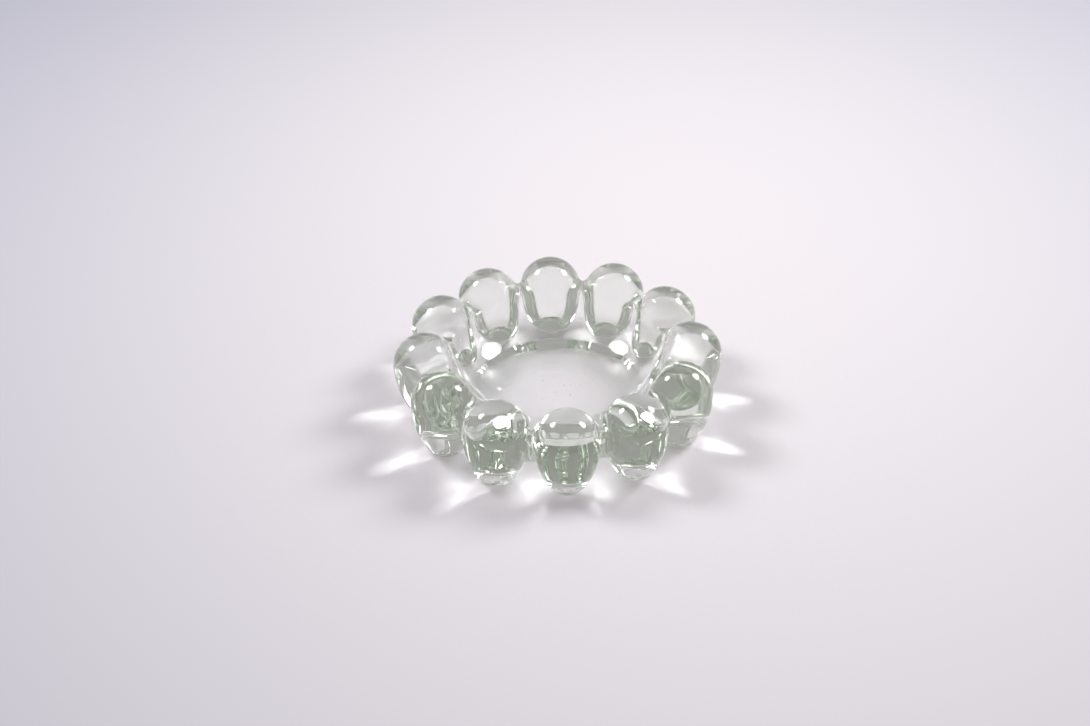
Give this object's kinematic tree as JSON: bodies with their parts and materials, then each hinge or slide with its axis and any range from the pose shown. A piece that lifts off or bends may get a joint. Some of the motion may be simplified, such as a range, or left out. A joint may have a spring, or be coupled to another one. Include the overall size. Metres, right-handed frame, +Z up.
{
  "type": "flower frog",
  "caption": "Ring-shaped flower holder in pressed clear glass: a shallow round well with a floor, inside a rim of egg-shaped lobes joined by low webs.",
  "frame": {"origin": "centre of the ring on the plane that it rests on", "axes": "+Z up along the ring's axis; lobe_01 is on the -Y side; lobes and webs are numbered anticlockwise from above"},
  "size_m": [0.1274, 0.1274, 0.0329],
  "materials": {
    "lobe_glass": "fire-polished clear glass, faint grey-green tint",
    "web_glass": "fire-polished clear glass, faint grey-green tint",
    "floor_glass": "smooth clear glass with a few seed bubbles"
  },
  "bodies": {
    "root": {"well_floor": "floor_glass", "lobe_01": "lobe_glass", "lobe_02": "lobe_glass", "lobe_03": "lobe_glass", "lobe_04": "lobe_glass", "lobe_05": "lobe_glass", "lobe_06": "lobe_glass", "lobe_07": "lobe_glass", "lobe_08": "lobe_glass", "lobe_09": "lobe_glass", "lobe_10": "lobe_glass", "lobe_11": "lobe_glass", "lobe_12": "lobe_glass", "web_01": "web_glass", "web_02": "web_glass", "web_03": "web_glass", "web_04": "web_glass", "web_05": "web_glass", "web_06": "web_glass", "web_07": "web_glass", "web_08": "web_glass", "web_09": "web_glass", "web_10": "web_glass", "web_11": "web_glass", "web_12": "web_glass"}
  },
  "joints": []
}
